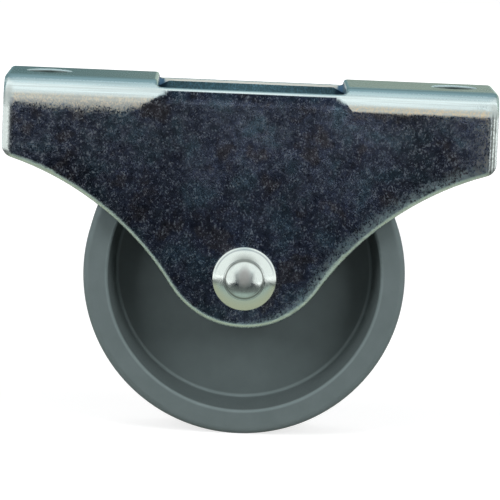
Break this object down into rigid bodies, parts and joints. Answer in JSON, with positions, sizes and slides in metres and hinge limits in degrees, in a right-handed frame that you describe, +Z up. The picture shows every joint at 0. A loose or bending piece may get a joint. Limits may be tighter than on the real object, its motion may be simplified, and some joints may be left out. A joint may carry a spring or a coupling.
{
  "type": "fixed caster",
  "caption": "Small fixed caster: a folded zinc-plated sheet bracket with a windowed screw plate carries a grey moulded wheel on a riveted axle.",
  "frame": {"origin": "middle of the two screw holes, on the top face of the plate", "axes": "+Z up out of the mounting face, X along the plate and the way the caster rolls, Y along the axle"},
  "size_m": [0.061, 0.0206, 0.044],
  "materials": {
    "zinc_sheet": "bright blue-passivated zinc plate on steel sheet, finely grained",
    "rivet_steel": "bright plated, smooth domed heads",
    "sleeve_steel": "plain drawn tube",
    "wheel_grey": "matt mid-grey moulding"
  },
  "bodies": {
    "frame": {"bracket": "zinc_sheet", "axle_rivet": "rivet_steel", "axle_sleeve": "sleeve_steel"},
    "wheel": {"wheel": "wheel_grey"}
  },
  "joints": [
    {"name": "wheel_spin", "type": "hinge", "parent": "frame", "child": "wheel", "pos_m": [0, 0, -0.024], "axis": [0, 1, 0], "continuous": true}
  ]
}
